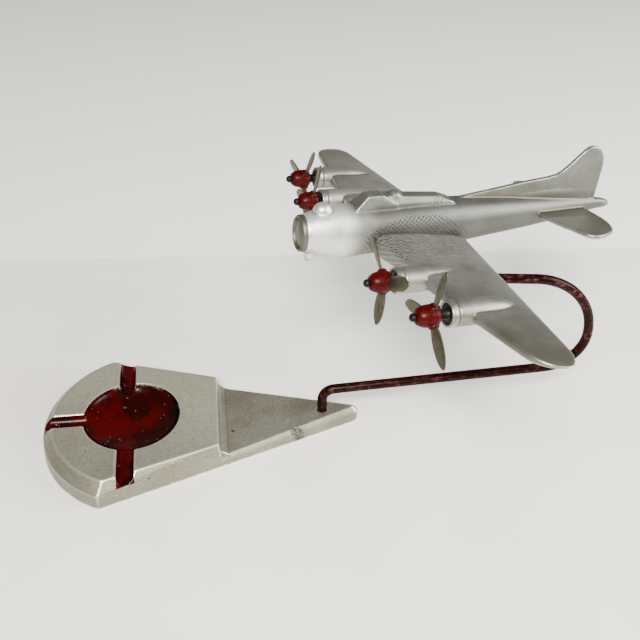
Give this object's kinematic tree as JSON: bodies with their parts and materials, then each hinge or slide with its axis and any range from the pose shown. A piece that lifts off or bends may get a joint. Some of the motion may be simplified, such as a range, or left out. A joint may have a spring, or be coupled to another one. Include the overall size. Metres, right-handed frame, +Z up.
{
  "type": "aeroplane ashtray",
  "caption": "Desk ashtray: cast aluminium base with a red bowl and rests, and a bent rod that carries an aeroplane with propellers that spin.",
  "frame": {"origin": "underside of the base, straight below the centre of the ash bowl", "axes": "+Z up, +X from the bowl to the narrow end of the base, the aeroplane's nose towards -X"},
  "size_m": [0.3638, 0.283, 0.1826],
  "materials": {
    "cast_base": "sand-cast and linished, satin, with pits; bowl and rests brushed with dark red enamel",
    "cast_airframe": "cast and hand-polished satin, tarnished in the hollows, punched stipple at the wing roots",
    "turned_aluminium": "turned",
    "blade_aluminium": "filed and polished",
    "rod_enamel": "dark red enamel, mottled and worn",
    "hub_enamel": "glossy red enamel",
    "black_enamel": "satin black enamel",
    "plated_steel": "dull zinc plate"
  },
  "bodies": {
    "stand_and_aeroplane": {"base_casting": "cast_base", "base_washer": "plated_steel", "base_nut": "plated_steel", "stand_rod": "rod_enamel", "fuselage": "cast_airframe", "port_wing": "cast_airframe", "starboard_wing": "cast_airframe", "port_inner_cowl_ring": "turned_aluminium", "port_inner_engine_face": "black_enamel", "port_inner_pin": "black_enamel", "port_outer_cowl_ring": "turned_aluminium", "port_outer_engine_face": "black_enamel", "port_outer_pin": "black_enamel", "starboard_inner_cowl_ring": "turned_aluminium", "starboard_inner_engine_face": "black_enamel", "starboard_inner_pin": "black_enamel", "starboard_outer_cowl_ring": "turned_aluminium", "starboard_outer_engine_face": "black_enamel", "starboard_outer_pin": "black_enamel"},
    "port_inner_propeller": {"port_inner_hub": "hub_enamel", "port_inner_blade_1": "blade_aluminium", "port_inner_blade_2": "blade_aluminium", "port_inner_blade_3": "blade_aluminium"},
    "port_outer_propeller": {"port_outer_hub": "hub_enamel", "port_outer_blade_1": "blade_aluminium", "port_outer_blade_2": "blade_aluminium", "port_outer_blade_3": "blade_aluminium"},
    "starboard_inner_propeller": {"starboard_inner_hub": "hub_enamel", "starboard_inner_blade_1": "blade_aluminium", "starboard_inner_blade_2": "blade_aluminium", "starboard_inner_blade_3": "blade_aluminium"},
    "starboard_outer_propeller": {"starboard_outer_hub": "hub_enamel", "starboard_outer_blade_1": "blade_aluminium", "starboard_outer_blade_2": "blade_aluminium", "starboard_outer_blade_3": "blade_aluminium"}
  },
  "joints": [
    {"name": "port_inner_spin", "type": "hinge", "parent": "stand_and_aeroplane", "child": "port_inner_propeller", "pos_m": [0.14578, -0.06054, 0.15328], "axis": [0.9681, 0.2217, -0.1167], "continuous": true},
    {"name": "port_outer_spin", "type": "hinge", "parent": "stand_and_aeroplane", "child": "port_outer_propeller", "pos_m": [0.16207, -0.0947, 0.15583], "axis": [0.9681, 0.2217, -0.1167], "continuous": true},
    {"name": "starboard_inner_spin", "type": "hinge", "parent": "stand_and_aeroplane", "child": "starboard_inner_propeller", "pos_m": [0.12066, 0.04381, 0.14321], "axis": [0.9681, 0.2217, -0.1167], "continuous": true},
    {"name": "starboard_outer_spin", "type": "hinge", "parent": "stand_and_aeroplane", "child": "starboard_outer_propeller", "pos_m": [0.11967, 0.08147, 0.13882], "axis": [0.9681, 0.2217, -0.1167], "continuous": true}
  ]
}
